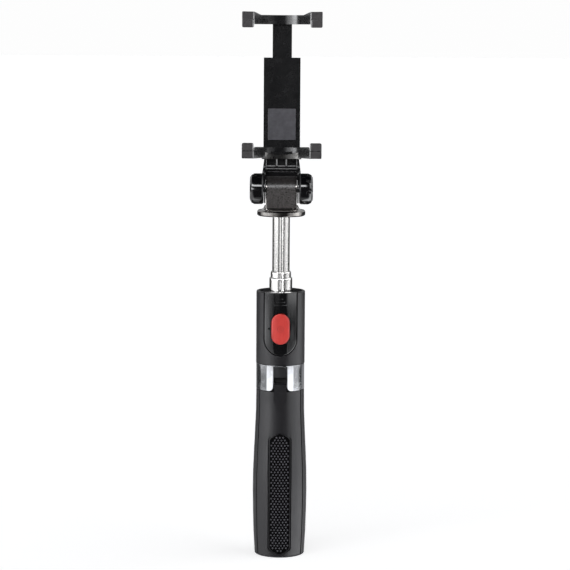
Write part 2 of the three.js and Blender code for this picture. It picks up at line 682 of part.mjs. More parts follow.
function buildUpperJaw() {
  const { top, bridge, split, grip, tip } = UPPER;
  const front = outline([
    [-15.7, grip + 0.4], [15.7, grip + 0.4], [15.7, split], [JAW.half, split], [JAW.half, top],
    [16, top], [12, bridge], [-12, bridge], [-16, top], [-JAW.half, top], [-JAW.half, split],
    [-15.7, split],
  ]);
  const jaw = raised(jawPlan(), grip, top, 20).intersect(acrossY(front, 0, 20));
  const { half, bottom, lug, lugHeight } = SLIDER;
  const blade = box(-half, half, SLIDER.front, SLIDER.back, bottom, grip + 2);
  const foot = box(-lug, lug, SLIDER.front, SLIDER.back, bottom, bottom + lugHeight);
  add('upper_jaw_slider', join(jaw, blade, foot), darkPlastic);

  const pad = fingerPad(split - GAP, grip, tip);
  add('upper_pad_right', pad, rubber);
  add('upper_pad_left', mirrored(pad), rubber);

  const middle = (SLIDER.half + RAIL.inner) / 2;
  const depth = (SLIDER.front + SLIDER.back) / 2;
  const spring = rod(SPRING_RADIUS, bottom + lugHeight + GAP, RAIL.top - 2 - GAP, 12);
  add('clamp_spring_right', spring.translate([middle, depth, 0]), steel);
  add('clamp_spring_left', spring.translate([-middle, depth, 0]), steel);
}

// A rounded knob on the +X side with a pocket for what it holds.
function knobBody() {
  const { inner, outer, radius, pocket, pocketEnd } = KNOB;
  const profile = [
    [0, inner], [radius - 0.8, inner], [radius, inner + 0.9], [radius, outer - 2.6],
    [radius - 0.8, outer - 1], [radius - 2.4, outer], [0, outer],
  ];
  const turnedKnob = turned(profile, 40).rotate([0, 90, 0]).translate([0, 0, TILT_Z]);
  return cut(turnedKnob, rodX(pocket, inner - 1, pocketEnd, 0, TILT_Z, 24));
}

function buildKnobs() {
  const { outer, radius } = KNOB;
  const notch = rodX(KNOB.notch, outer - 3.6, outer + 1, 0, radius + 0.2, 12);
  const notches = [];
  for (let i = 0; i < KNOB.notches; i += 1) {
    const angle = ((i - 0.5) * 360) / KNOB.notches;
    notches.push(notch.rotate([angle, 0, 0]).translate([0, 0, TILT_Z]));
  }
  add('tilt_knob', cut(knobBody(), ...notches), glossBlack);
  const insert = rodX(INSERT.radius, INSERT.inner, INSERT.outer, 0, TILT_Z, 24);
  const thread = rodX(BOLT.radius + GAP, INSERT.inner - 1, INSERT.outer + 1, 0, TILT_Z);
  add('knob_insert', cut(insert, thread), brass);
  add('tilt_cap', mirrored(knobBody()), glossBlack);
  const bolt = join(
    rodX(BOLT.radius, -BOLT.headInner - 0.6, BOLT.end, 0, TILT_Z),
    rodX(BOLT.head, -BOLT.headOuter, -BOLT.headInner, 0, TILT_Z, 6),
  );
  add('tilt_bolt', bolt, steel);
}

// ---------------------------------------------------------------- assembly
buildRod();
buildLegs();
buildHub();
buildHousing();
buildRemote();
buildHead();
buildClamp();
buildUpperJaw();
buildKnobs();

export default root;
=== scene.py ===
"""A telescopic selfie stick with a phone clamp, a shutter remote and a tripod handle.

Sizes are in millimetres in the tables and functions below, and become metres by MM where a mesh, a
material or an object is made. The stick stands along +Z with its foot at the origin, and its user
side looks along -Y.
"""
import json
import math

import bmesh
import bpy
from mathutils import Matrix, Vector
from mathutils.geometry import delaunay_2d_cdt


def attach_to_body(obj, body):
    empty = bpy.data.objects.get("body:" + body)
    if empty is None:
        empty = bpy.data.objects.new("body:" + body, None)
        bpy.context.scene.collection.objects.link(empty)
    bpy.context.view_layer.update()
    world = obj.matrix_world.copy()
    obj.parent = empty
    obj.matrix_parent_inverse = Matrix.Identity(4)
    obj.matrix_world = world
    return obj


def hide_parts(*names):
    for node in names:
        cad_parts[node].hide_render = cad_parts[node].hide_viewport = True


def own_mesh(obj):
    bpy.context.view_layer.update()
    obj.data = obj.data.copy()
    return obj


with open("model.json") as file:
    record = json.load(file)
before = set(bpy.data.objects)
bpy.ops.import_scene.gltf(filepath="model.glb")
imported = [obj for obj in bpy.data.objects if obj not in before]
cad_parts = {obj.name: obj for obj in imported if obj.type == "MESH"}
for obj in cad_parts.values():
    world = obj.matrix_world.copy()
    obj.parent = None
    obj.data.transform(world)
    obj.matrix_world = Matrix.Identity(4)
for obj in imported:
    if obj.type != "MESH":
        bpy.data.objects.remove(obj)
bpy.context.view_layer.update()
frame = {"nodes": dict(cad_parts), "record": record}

MM = 0.001
BODY_OF = {node: body for body, nodes in frame["record"]["behaviour"]["bodies"].items() for node in nodes}
SLOT_OF = {part["node"]: part["material_slot"] for part in frame["record"]["subparts"]}
LEG_SIDES = ("front", "right", "left")


# ---------------------------------------------------------------- nodes
def socket(node, name, value):
    node.inputs[name].default_value = value


def through(tree, kind, value, entry, output, **sockets):
    """Passes a value through a new node, in at its entry and out at its output."""
    node = tree.nodes.new(kind)
    for key, number in sockets.items():
        socket(node, key.replace("_", " "), number)
    tree.links.new(value, node.inputs[entry])
    return node.outputs[output]


def combine(tree, operation, a, b):
    """The result of a sum on two values, each a number or the output of a node."""
    node = tree.nodes.new("ShaderNodeMath")
    node.operation = operation
    for entry, value in zip(node.inputs, (a, b)):
        if isinstance(value, (int, float)):
            entry.default_value = value
        else:
            tree.links.new(value, entry)
    return node.outputs["Value"]


# ---------------------------------------------------------------- materials
NOISE_ROUGHNESS = 0.55
GRAIN = 0.12  # size of the grain that spark erosion leaves on moulded plastic
COVER_BEND = 212.5  # height where the tilt block's cover bends back over the block


class Material:
    """A Principled material under construction, with its nodes placed as they are made."""

    def __init__(self, name, **fixed):
        self.material = bpy.data.materials.new(name)
        self.material.use_nodes = True
        self.tree = self.material.node_tree
        self.shader = self.tree.nodes["Principled BSDF"]
        for key, value in fixed.items():
            socket(self.shader, key.replace("_", " "), value)
        self.place = self.tree.nodes.new("ShaderNodeTexCoord").outputs["Object"]
        self.normal = None

    def stretched(self, scale):
        return through(self.tree, "ShaderNodeMapping", self.place, "Vector", "Vector", Scale=scale)

    def noise(self, scale, detail, place=None):
        return through(
            self.tree, "ShaderNodeTexNoise", place or self.place, "Vector", "Fac",
            Scale=scale, Detail=detail, Roughness=NOISE_ROUGHNESS,
        )

    def cells(self, scale):
        return through(self.tree, "ShaderNodeTexVoronoi", self.place, "Vector", "Distance", Scale=scale)

    def height(self):
        return through(self.tree, "ShaderNodeSeparateXYZ", self.place, "Vector", "Z")

    def ranged(self, value, low, high, start, end):
        return through(
            self.tree, "ShaderNodeMapRange", value, "Value", "Result",
            From_Min=start, From_Max=end, To_Min=low, To_Max=high,
        )

    def tint(self, value, dark, light, start=0.3, end=0.7):
        ramp = self.tree.nodes.new("ShaderNodeValToRGB")
        for stop, position, colour in zip(ramp.color_ramp.elements, (start, end), (dark, light)):
            stop.position = position
            stop.color = (*colour, 1)
        self.tree.links.new(value, ramp.inputs["Fac"])
        self.tree.links.new(ramp.outputs["Color"], self.shader.inputs["Base Color"])

    def rough(self, value, low, high, start=0.3, end=0.7):
        self.tree.links.new(self.ranged(value, low, high, start, end), self.shader.inputs["Roughness"])

    def bump(self, height, depth, strength):
        """Raises the surface by a height; each bump comes on top of the one before it."""
        normal = through(
            self.tree, "ShaderNodeBump", height, "Height", "Normal", Strength=strength, Distance=depth * MM,
        )
        if self.normal is not None:
            self.tree.links.new(self.normal, normal.node.inputs["Normal"])
        self.normal = normal
        self.tree.links.new(normal, self.shader.inputs["Normal"])


def surface(name, tint, rough, bump, **fixed):
    """A finish of three noises, each given as its scale and detail and then what it varies between.

    tint ends with a dark and a light colour, rough with the least and the most roughness, and bump
    with a depth in millimetres and a strength.
    """
    made = Material(name, **fixed)
    made.tint(made.noise(*tint[:2]), *tint[2:])
    made.rough(made.noise(*rough[:2]), *rough[2:])
    made.bump(made.noise(*bump[:2]), *bump[2:])
    return made.material


def moulded_plastic(name, dark, light, roughness):
    """Injection-moulded plastic: spark-eroded grain, soft cloudiness, slight shine where it is handled."""
    made = Material(name)
    made.tint(made.noise(60, 4), dark, light)
    made.rough(made.noise(150, 3), roughness - 0.05, roughness + 0.06)
    made.bump(made.noise(1 / (GRAIN * MM), 2), 0.02, 0.6)
    made.bump(made.noise(300, 1), 0.02, 0.25)
    return made.material


def gloss_black(name):
    """Polished black plastic: faint moulding waves, hairline scuffs and a clear coat."""
    made = Material(name, Coat_Weight=1.0, Coat_Roughness=0.05)
    made.tint(made.noise(45, 3), (0.002, 0.002, 0.0025), (0.004, 0.004, 0.0045))
    made.rough(made.noise(900, 2, made.stretched((1, 1, 0.12))), 0.056, 0.144)
    made.bump(made.noise(120, 1), 0.015, 0.12)
    return made.material


def tube_steel(name):
    """Drawn stainless tube: bright, with fine draw lines along its length."""
    made = Material(name, Metallic=1.0)
    lines = made.noise(2600, 2, made.stretched((1, 1, 0.001)))
    made.tint(made.noise(80, 3), (0.54, 0.528, 0.515), (0.64, 0.627, 0.613))
    made.rough(lines, 0.1275, 0.238)
    made.bump(lines, 0.003, 0.3)
    return made.material


def soft_rubber(name, dark, light, roughness, **fixed):
    """Matte rubber with a fine dusty grain."""
    shine = (700, 2, roughness - 0.08, roughness + 0.08)
    return surface(name, (300, 3, dark, light), shine, (4200, 2, 0.02, 0.6), **fixed)


def grained_cover(name):
    """The tilt block's wrap: a coarse leather-like grain in dark brown-grey, with painted shade that darkens
    it above its bend.
    """
    made = Material(name, Specular_IOR_Level=0.9)
    fine = made.noise(2700, 3)
    # painted shade: the cover is a fifth darker above its bend, where it turns up away from the light
    top_shade = made.ranged(made.height(), 1.0, 0.8, (COVER_BEND - 4) * MM, (COVER_BEND + 3) * MM)
    shade = combine(made.tree, "MULTIPLY", fine, top_shade)
    made.tint(shade, (0.008, 0.0072, 0.007), (0.078, 0.0705, 0.0685), 0.38, 0.62)
    made.rough(fine, 0.24, 0.38)
    made.bump(made.cells(2400), 0.05, 0.5)
    made.bump(fine, 0.06, 0.7)
    return made.material


def turned_brass(name):
    """Brass with the fine rings of the lathe round it."""
    made = Material(name, Metallic=1.0)
    made.tint(made.noise(300, 3), (0.5, 0.36, 0.14), (0.62, 0.47, 0.2))
    made.rough(made.noise(2000, 2), 0.24, 0.4)
    made.bump(made.noise(2200, 1, made.stretched((4, 0.2, 0.2))), 0.01, 0.4)
    return made.material


def circuit_board(name):
    """Green solder mask that dips between the tracks under it."""
    made = Material(name)
    tracks = made.cells(700)
    made.tint(tracks, (0.012, 0.07, 0.03), (0.03, 0.16, 0.07), 0.1, 0.35)
    made.rough(tracks, 0.35, 0.55, 0.1, 0.4)
    made.bump(tracks, 0.03, 0.5)
    return made.material


def light_pipe(name):
    """The status light's smoky clear plastic, unlit."""
    made = Material(name, Transmission_Weight=0.4, IOR=1.49)
    made.tint(made.noise(600, 2), (0.02, 0.02, 0.022), (0.04, 0.04, 0.044))
    made.rough(made.noise(900, 2), 0.08, 0.2)
    return made.material


MATERIALS = {
    "grip_plastic": moulded_plastic("grip_plastic", (0.0055, 0.005, 0.0065), (0.0085, 0.008, 0.0095), 0.38),
    "dark_plastic": moulded_plastic("dark_plastic", (0.008, 0.008, 0.009), (0.013, 0.013, 0.014), 0.4),
    "gloss_black": gloss_black("gloss_black"),
    "grained_cover": grained_cover("grained_cover"),
    "rubber": soft_rubber("rubber", (0.042, 0.041, 0.047), (0.062, 0.061, 0.069), 0.8),
    # bright chrome on plastic: almost a mirror, with the faint waves of the moulding below
    "chrome": surface(
        "chrome", (70, 2, (0.78, 0.79, 0.82), (0.86, 0.87, 0.89)), (400, 3, 0.03, 0.075),
        (110, 1, 0.012, 0.1), Metallic=1.0,
    ),
    "rod_steel": tube_steel("rod_steel"),
    # zinc-plated hardware: a grey metal with a slightly uneven, turned surface
    "hardware_steel": surface(
        "hardware_steel", (500, 3, (0.36, 0.36, 0.37), (0.52, 0.52, 0.51)), (1500, 2, 0.24, 0.42),
        (2500, 2, 0.006, 0.4), Metallic=1.0,
    ),
    "brass": turned_brass("brass"),
    # coral-red satin plastic
    "red_plastic": surface(
        "red_plastic", (200, 3, (0.47, 0.027, 0.021), (0.53, 0.036, 0.028)), (500, 2, 0.32, 0.45),
        (3500, 2, 0.012, 0.4), Coat_Weight=0.15, Coat_Roughness=0.25,
    ),
    "circuit_board": circuit_board("circuit_board"),
    "light_pipe": light_pipe("light_pipe"),
}

# the flange and block under the clamp: dark nickel lacquer, glossy, with a faint warm cast
POLISHED_GREY = surface(
    "polished_grey", (90, 3, (0.27, 0.255, 0.245), (0.33, 0.315, 0.30)), (700, 2, 0.1, 0.15),
    (160, 1, 0.01, 0.15), Metallic=1.0,
)
# the clamp's jaws: black nylon with a polished skin and a fine orange-peel
SATIN_BLACK = surface(
    "satin_black", (70, 3, (0.004, 0.004, 0.0045), (0.008, 0.008, 0.0085)), (260, 3, 0.2, 0.3),
    (1400, 2, 0.006, 0.4), Coat_Weight=0.7, Coat_Roughness=0.14,
)
# the plate in the lower jaw: a satin lacquer with metal in it
SATIN_GREY = surface(
    "satin_grey", (90, 3, (0.095, 0.093, 0.09), (0.125, 0.123, 0.119)), (600, 3, 0.24, 0.34),
    (2600, 2, 0.006, 0.4), Metallic=1.0,
)
# painted highlight: a light grey that stands for the thin lines of light that glint along edges of the
# moulding
PAINTED_EDGE_HIGHLIGHT = surface(
    "painted_edge_highlight", (700, 3, (0.2, 0.2, 0.203), (0.32, 0.317, 0.314)), (900, 2, 0.24, 0.4),
    (2600, 2, 0.008, 0.4),
)
# the pale rings pressed into the button
BUTTON_MARK = surface(
    "button_mark", (300, 2, (0.27, 0.016, 0.013), (0.34, 0.021, 0.017)), (800, 2, 0.42, 0.58),
    (3000, 2, 0.01, 0.4),
)
FINGER_RUBBER = soft_rubber("finger_rubber", (0.028, 0.026, 0.027), (0.040, 0.037, 0.0385), 0.7)
# the skin of a grip pad between its dots: a darker rubber, made near black by painted shade of the hollows
# between the dots
SHADED_RUBBER_GROUND = soft_rubber(
    "rubber_ground_painted_shade", (0.001, 0.001, 0.0012), (0.002, 0.002, 0.0022), 0.9, Specular_IOR_Level=0.05,
)


# ---------------------------------------------------------------- meshes
SMOOTH_BELOW = 32  # degrees between two faces up to which their edge is shaded smooth
WELD = 0.002  # distance within which points of a CAD mesh are one
FLAT_WITHIN = 1.5  # degrees between two faces of a CAD mesh up to which they are one
LARGE_FACES = 60  # weight of large faces in the shading, where 50 is even

REPLACED = set()


def smooth(mesh):
    for polygon in mesh.polygons:
        polygon.use_smooth = True
    mesh.set_sharp_from_angle(angle=math.radians(SMOOTH_BELOW))


def link(name, data):
    made = bpy.data.objects.new(name, data)
    bpy.context.scene.collection.objects.link(made)
    return made


def attach(piece, node):
    """Puts a piece in the place of a CAD node, with its body and finish."""
    REPLACED.add(node)
    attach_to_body(piece, BODY_OF[node])
    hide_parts(node)
    if not piece.data.materials:
        piece.data.materials.append(MATERIALS[SLOT_OF[node]])


def sharp_edges(made, sharp, test):
    """Edges whose faces turn by over sharp degrees and whose middle, in millimetres, passes the test."""
    limit = math.radians(sharp)
    found = []
    for edge in made.edges:
        if edge.is_manifold and edge.calc_face_angle(0) > limit:
            middle = (edge.verts[0].co + edge.verts[1].co) / 2 / MM
            if test is None or test(*middle):
                found.append(edge)
    return found


def refined(node, bevel=0.25, segments=2, sharp=35, rules=(), move=None, paint=(), material=None):
    """A copy of a CAD node with flat faces merged and sharp edges rounded.

    A rule is (test, width, segments) for the edges whose middle, in millimetres, passes the test; the
    rest get the common bevel. move may shift each point of the copy, in millimetres, first. paint is
    (test, material) for the faces whose middle passes the test; where two pass, the later one holds.
    """
    mesh = frame["nodes"][node].data.copy()
    mesh.materials.clear()
    made = bmesh.new()
    made.from_mesh(mesh)
    bmesh.ops.remove_doubles(made, verts=made.verts, dist=WELD * MM)
    if move:
        for vert in made.verts:
            vert.co = Vector(move(*(vert.co / MM))) * MM
    bmesh.ops.dissolve_limit(made, angle_limit=math.radians(FLAT_WITHIN), verts=made.verts, edges=made.edges)
    for test, width, steps in (*rules, (None, bevel, segments)):
        bmesh.ops.bevel(
            made, geom=sharp_edges(made, sharp, test), offset=width * MM, offset_type="OFFSET",
            segments=steps, profile=0.5, affect="EDGES", clamp_overlap=True,
        )
    made.to_mesh(mesh)
    made.free()
    smooth(mesh)
    piece = link(f"{node}_finished", mesh)
    modifier = piece.modifiers.new("even_normals", "WEIGHTED_NORMAL")
    modifier.keep_sharp = True
    modifier.weight = LARGE_FACES
    if material:
        mesh.materials.append(material)
    attach(piece, node)
    for test, coat in paint:
        mesh.materials.append(coat)
        for polygon in mesh.polygons:
            if test(*(polygon.center / MM)):
                polygon.material_index = len(mesh.materials) - 1


def shaped(name, points, faces):
    """An object from points in millimetres, with its faces turned outwards."""
    mesh = bpy.data.meshes.new(name)
    mesh.from_pydata([[c * MM for c in point] for point in points], [], faces)
    mesh.validate()
    made = bmesh.new()
    made.from_mesh(mesh)
    bmesh.ops.recalc_face_normals(made, faces=made.faces)
    made.to_mesh(mesh)
    made.free()
    smooth(mesh)
    return link(name, mesh)


def replacement(name, points, faces, node):
    """A new piece that stands for a CAD node."""
    piece = shaped(name, points, faces)
    attach(piece, node)
    return piece


def extra(name, points, faces, body, slot, material):
    """A small extra piece that rides on a body and stands for no CAD node."""
    piece = shaped(name, points, faces)
    piece.data.materials.append(material)
    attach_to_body(piece, body)


def turn_z(point, degrees):
    a = math.radians(degrees)
    x, y, z = point
    return (x * math.cos(a) - y * math.sin(a), x * math.sin(a) + y * math.cos(a), z)


def full_turn(steps):
    """The angles of a circle's points, going round once."""
    return [i / steps * math.tau for i in range(steps)]


def rings_to_faces(rings, sides, closed=True):
    """Quads between successive rings of points; the last ring joins the first when closed."""
    faces = []
    count = rings if closed else rings - 1
    for k in range(count):
        a = k * sides
        b = ((k + 1) % rings) * sides
        for i in range(sides):
            j = (i + 1) % sides
            faces.append((a + i, a + j, b + j, b + i))
    return faces


def capped_faces(points, sides):
    """Quads between successive rings of points, and a flat face at both ends."""
    faces = rings_to_faces(len(points) // sides, sides, closed=False)
    faces.append(tuple(reversed(range(sides))))
    faces.append(tuple(range(len(points) - sides, len(points))))
    return faces


# ---------------------------------------------------------------- telescopic rod
TUBES = (  # node, radius, bottom, top, and whether the top is rolled in
    ("tube_1", 7.3, 24.0, 150.4, True),
    ("tube_2", 6.55, 39.6, 160.5, True),
    ("tube_3", 5.8, 45.5, 164.0, True),
    ("tube_4", 4.95, 84.0, 201.7, False),
)
TUBE_WALL = 0.4
TUBE_SIDES = 180
CUT_EDGE = 0.12  # chamfer of a tube's cut ends
# the rolled top as steps inwards and down, from the outside's corner and then from the inside's
ROLLED_OUTSIDE = ((0.0, 1.3), (0.03, 0.8), (0.12, 0.4), (0.28, 0.1), (0.42, 0.0))
ROLLED_INSIDE = ((0.12, 0.0), (0.15, 0.1), (0.12, 0.6), (0.0, 1.0))
FLUTE_WIDTH = 3.3
FLUTE_DEPTH = 0.85
FLUTE_TURN = 3.0  # degrees that the flutes sit round from the front


def fluted_radius(radius, angle):
    """Radius of a tube with a rounded groove down its front and another down its back."""
    half = FLUTE_WIDTH / 2 / radius
    turned = angle - math.radians(FLUTE_TURN)
    from_front = abs(math.atan2(math.cos(turned), -math.sin(turned)))
    offset = min(from_front, math.pi - from_front)
    if offset >= half:
        return radius
    return radius - FLUTE_DEPTH * math.cos(offset / half * math.pi / 2) ** 2


def fluted_tube(node, radius, bottom, top, rolled):
    """A thin fluted tube; if rolled, its top is rolled in over the section that slides in it."""
    inner = radius - TUBE_WALL
    rows = [(radius - CUT_EDGE, bottom), (radius, bottom + CUT_EDGE)]
    if rolled:
        rows += [(radius - inwards, top - down) for inwards, down in ROLLED_OUTSIDE]
        rows += [(inner - inwards, top - down) for inwards, down in ROLLED_INSIDE]
    else:
        rows += [(radius, top - CUT_EDGE), (radius - CUT_EDGE, top), (inner, top)]
    rows.append((inner, bottom))
    points = []
    for r, z in rows:
        for angle in full_turn(TUBE_SIDES):
            out = fluted_radius(r, angle)
            points.append((out * math.cos(angle), out * math.sin(angle), z))
    return replacement(f"{node}_fluted", points, rings_to_faces(len(rows), TUBE_SIDES), node)


def build_rod():
    """The fixed section is painted black in place of steel, as painted shade, so that it doesn't gleam
    through the seams of the handle.
    """
    fixed, *_ = [fluted_tube(*tube) for tube in TUBES]
    # painted shade: the hidden fixed section is black so that the handle's seams show dark
    fixed.data.materials[0] = SATIN_BLACK


# ---------------------------------------------------------------- handle surface
# radius and height at places up the side of the handle
HANDLE_CURVE = ((14.3, 0), (15.2, 17), (15.55, 37), (15.2, 55), (14.2, 74), (13.75, 89), (13.75, 97))
HALVINGS = 24


def catmull(t, p0, p1, p2, p3):
    """The place at t, from 0 to 1, on a smooth curve that goes from p1 to p2."""
    v0 = (p2 - p0) * 0.5
    v1 = (p3 - p1) * 0.5
    return (2 * p1 - 2 * p2 + v0 + v1) * t ** 3 + (-3 * p1 + 3 * p2 - 2 * v0 - v1) * t * t + v0 * t + p1


def curve_point(u):
    """Radius and height of the handle's side at a share of the way up its curve."""
    span = u * (len(HANDLE_CURVE) - 1)
    i = min(int(span), len(HANDLE_CURVE) - 2)
    picked = [HANDLE_CURVE[min(max(i + k, 0), len(HANDLE_CURVE) - 1)] for k in (-1, 0, 1, 2)]
    return [catmull(span - i, *(p[axis] for p in picked)) for axis in (0, 1)]


def handle_radius(z):
    """The handle's radius at a height, found by halving the curve again and again."""
    low, high = 0.0, 1.0
    for _ in range(HALVINGS):
        middle = (low + high) / 2
        if curve_point(middle)[1] < z:
            low = middle
        else:
            high = middle
    return curve_point((low + high) / 2)[0]


def on_handle(x, z, lift):
    """The place on the handle's front at a side offset and height, lifted off its surface."""
    radius = handle_radius(z) + lift
    angle = x / handle_radius(z)
    return (radius * math.sin(angle), -radius * math.cos(angle), z)


# ---------------------------------------------------------------- grip pads
PAD = {"width": 12.3, "bottom": 2.0, "top": 71.9, "rise": 3.9, "shoulder": 0.96, "thickness": 0.78}
PAD_GROUND = -0.5  # the skin between the dots, from the handle's surface
PAD_EDGE = ((0.0, PAD_GROUND - 0.1), (0.12, PAD_GROUND))  # how far in from the outline, and lift
PAD_RIM = 0.78  # inside the outline, the rim that has no dots
ARCH_STEPS = 8
SIDE_STEPS = 34
DOT = {"pitch": 1.96, "row": 1.532, "radius": 0.56, "crown": 0.06}
DOT_RINGS = ((1.0, PAD_GROUND), (0.88, PAD_GROUND * 0.4), (0.6, -0.02))  # share of the radius, and lift
DOT_SIDES = 12
DOTLESS_ENDS = 3.0  # length of the pad, both ends together, that has no rows of dots
INSIDE_ONLY, SAME_PLACE = 1, 1e-5  # how the skin is cut into triangles: the kind of result, tolerance


def quadratic(a, b, c):
    """Points along a quadratic curve from a towards c, without its last point."""
    points = []
    for i in range(ARCH_STEPS):
        t = i / ARCH_STEPS
        points.append(tuple((1 - t) ** 2 * a[k] + 2 * t * (1 - t) * b[k] + t * t * c[k] for k in (0, 1)))
    return points


def pad_outline(inset):
    """The outline of the grip pad, blunt pointed arches at both ends, going round once."""
    half = PAD["width"] / 2 - inset
    bottom = PAD["bottom"] + inset
    top = PAD["top"] - inset
    rise = PAD["rise"]
    shoulder = half * PAD["shoulder"]
    low, high = bottom + rise / 2, top - rise / 2
    length = top - bottom - 2 * rise
    points = quadratic((-half, bottom + rise), (-shoulder, low), (0, bottom))
    points += quadratic((0, bottom), (shoulder, low), (half, bottom + rise))
    points += [(half, bottom + rise + length * i / SIDE_STEPS) for i in range(SIDE_STEPS)]
    points += quadratic((half, top - rise), (shoulder, high), (0, top))
    points += quadratic((0, top), (-shoulder, high), (-half, top - rise))
    points += [(-half, top - rise - length * i / SIDE_STEPS) for i in range(SIDE_STEPS)]
    return points


def encloses(outline, x, y):
    """Whether a flat outline goes round a point."""
    inside = False
    previous = outline[-1]
    for point in outline:
        if (point[1] > y) != (previous[1] > y):
            cross = (previous[0] - point[0]) * (y - point[1]) / (previous[1] - point[1]) + point[0]
            if x < cross:
                inside = not inside
        previous = point
    return inside


def dot_centres():
    """A staggered field of dots, six and five to a row, that stays inside the pad's rim."""
    field = pad_outline(PAD_RIM)
    rows = int((PAD["top"] - PAD["bottom"] - DOTLESS_ENDS) / DOT["row"])
    middle = (PAD["top"] + PAD["bottom"]) / 2
    centres = []
    for row in range(rows + 1):
        z = middle + (row - rows / 2) * DOT["row"]
        count = 6 if row % 2 == 0 else 5
        for i in range(count):
            x = (i - (count - 1) / 2) * DOT["pitch"]
            if encloses(field, x, z):
                centres.append((x, z))
    return centres


def pad_mesh():
    """The front leg's grip pad: one skin with a round-shouldered dot at each place of the lattice.

    Gives its points, its faces, and for each face whether it lies on the ground between the dots.
    """
    flat, height, edges = [], [], []

    def ring(points, lift):
        first = len(flat)
        flat.extend(points)
        height.extend([lift] * len(points))
        edges.extend((first + i, first + (i + 1) % len(points)) for i in range(len(points)))

    for inset, lift in PAD_EDGE:
        ring(pad_outline(inset), lift)
    for x, z in dot_centres():
        for share, lift in DOT_RINGS:
            r = DOT["radius"] * share
            ring([(x + r * math.cos(a), z + r * math.sin(a)) for a in full_turn(DOT_SIDES)], lift)
        flat.append((x, z))
        height.append(DOT["crown"])
    places = [Vector(p) for p in flat]
    inside, _, faces, _, _, _ = delaunay_2d_cdt(places, edges, [], INSIDE_ONLY, SAME_PLACE)
    known = {(round(p[0], 3), round(p[1], 3)): lift for p, lift in zip(flat, height)}
    lifts = [known.get((round(place.x, 3), round(place.y, 3)), PAD_GROUND) for place in inside]
    points = [on_handle(place.x, place.y, lift) for place, lift in zip(inside, lifts)]
    outline = pad_outline(0.0)
    kept, low = [], []
    for face in faces:
        middle = sum((inside[i] for i in face), Vector((0, 0))) / len(face)
        if encloses(outline, middle.x, middle.y):
            kept.append(tuple(face))
            low.append(all(lifts[i] <= PAD_GROUND + 0.001 for i in face))
    return points, kept, low


def closed_skin(points, faces):
    """Closes an open skin into a solid by a copy of it further in, joined round the rim."""
    count = len(points)
    directed = dict.fromkeys((a, b) for face in faces for a, b in zip(face, face[1:] + face[:1]))
    inner = []
    for x, y, z in points:
        inside = (handle_radius(z) - PAD["thickness"]) / math.hypot(x, y)
        inner.append((x * inside, y * inside, z))
    back = [tuple(i + count for i in reversed(face)) for face in faces]
    rim = [(b, a, a + count, b + count) for a, b in directed if (b, a) not in directed]
    return points + inner, faces + back + rim


def build_pads():
    """The dots are a little paler from wear than the rubber between them, which also carries painted shade.
    """
    points, faces, low = pad_mesh()
    points, faces = closed_skin(points, faces)
    for i, side in enumerate(LEG_SIDES):
        turned = [turn_z(point, 120 * i) for point in points]
        piece = replacement(f"leg_{side}_dotted_grip", turned, faces, f"leg_{side}_grip_pad")
        # painted shade: the ground between the dots takes the near-black rubber
        piece.data.materials.append(SHADED_RUBBER_GROUND)
        for polygon in piece.data.polygons:
            if polygon.index >= len(low) or low[polygon.index]:
                polygon.material_index = 1


# ---------------------------------------------------------------- small shapes
BAR_SIDES = 10
BAR_END_STEPS = 4
BAR_TIP = 0.05  # radius of the small flat at the tip of a bar's end, as a share
HOOP_ROUND_SIDES = 8
HOOP_FLATTEN = 0.8


def bar(start, end, radius, flatten=1.0):
    """Points and faces of a round-ended bar between two places; flatten below 1 presses it in along Y."""
    axis = (Vector(end) - Vector(start)).normalized()
    front = Vector((0, -1, 0))
    rise = front - axis * axis.dot(front)
    rise.normalize()
    side = axis.cross(rise)
    steps = range(BAR_END_STEPS + 1)
    points = []
    for place, way, order in ((start, -1, steps), (end, 1, reversed(steps))):
        for i in order:
            bow = math.pi / 2 * (i / BAR_END_STEPS)
            centre = Vector(place) + axis * way * radius * math.cos(bow)
            r = max(radius * math.sin(bow), radius * BAR_TIP)
            for a in full_turn(BAR_SIDES):
                points.append(tuple(centre + side * r * math.cos(a) + rise * r * flatten * math.sin(a)))
    return points, capped_faces(points, BAR_SIDES)


def gathered(parts):
    """Several shapes as one list of points and one of faces."""
    points, faces = [], []
    for more_points, more_faces in parts:
        first = len(points)
        points.extend(more_points)
        faces.extend(tuple(i + first for i in face) for face in more_faces)
    return points, faces


def hoop(centre, radius, thick, sides, depth_at):
    """A ring of round section lying across Y, at the depth that depth_at(x, z) gives."""
    points = []
    for a in full_turn(sides):
        for b in full_turn(HOOP_ROUND_SIDES):
            r = radius + thick * math.cos(b)
            x, z = centre[0] + r * math.cos(a), centre[1] + r * math.sin(a)
            points.append((x, depth_at(x, z) - thick * HOOP_FLATTEN * math.sin(b), z))
    return points, rings_to_faces(sides, HOOP_ROUND_SIDES)


# ---------------------------------------------------------------- legs and collar
LEG_FLANK = 52  # degrees from a leg's middle beyond which its seams with the other legs lie
LEG_SKIN = 12.5  # radius beyond which an edge is on a leg's outside
LEG_LOW, LEG_HIGH = 4, 94


def build_legs():
    for i, side in enumerate(LEG_SIDES):
        def seam(x, y, z, turn=-120 * i):
            """The outer edges of a leg along its seams with the other two."""
            px, py, pz = turn_z((x, y, z), turn)
            on_flank = abs(math.degrees(math.atan2(px, -py))) > LEG_FLANK
            return on_flank and math.hypot(px, py) > LEG_SKIN and LEG_LOW < pz < LEG_HIGH

        refined(f"leg_{side}_shell", bevel=0.22, rules=((seam, 0.5, 3),))
        refined(f"leg_{side}_foot", bevel=0.3, segments=3)


def build_collar():
    refined("chrome_collar", bevel=0.28, segments=3, sharp=40)


